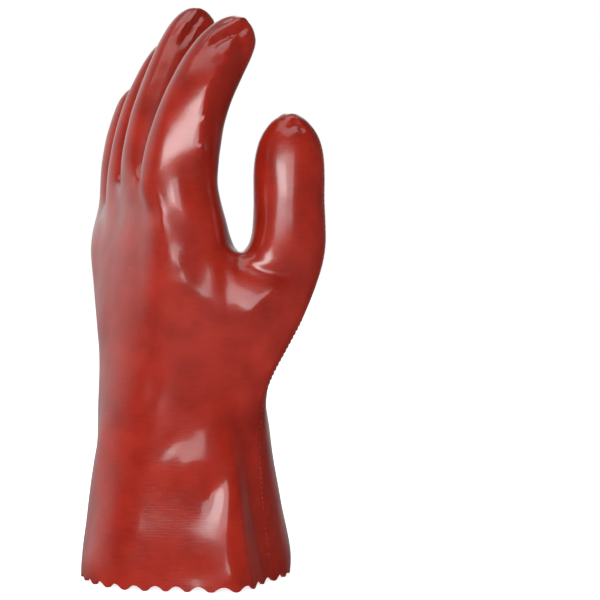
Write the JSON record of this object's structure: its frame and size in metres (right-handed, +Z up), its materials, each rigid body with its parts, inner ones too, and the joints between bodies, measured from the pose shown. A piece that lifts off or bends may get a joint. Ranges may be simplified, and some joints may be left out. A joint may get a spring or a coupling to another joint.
{
  "type": "pvc coated work glove",
  "caption": "Dipped work glove for the left hand: a gauntlet cuff with a pinked hem, palm, four separate fingers and a thumb, hollow for the hand.",
  "frame": {"origin": "middle of the bounding box's bottom, on the surface that the cuff's hem stands on", "axes": "+Z up along the glove to the fingertips, +X to the thumb side, +Y to the palm, -Y to the back of the hand"},
  "size_m": [0.1282, 0.1028, 0.2708],
  "materials": {
    "glove_shell": "glossy oxide red soft plastic over a knitted liner, with soft puckers and dents"
  },
  "bodies": {
    "root": {"glove_shell": "glove_shell"}
  },
  "joints": []
}
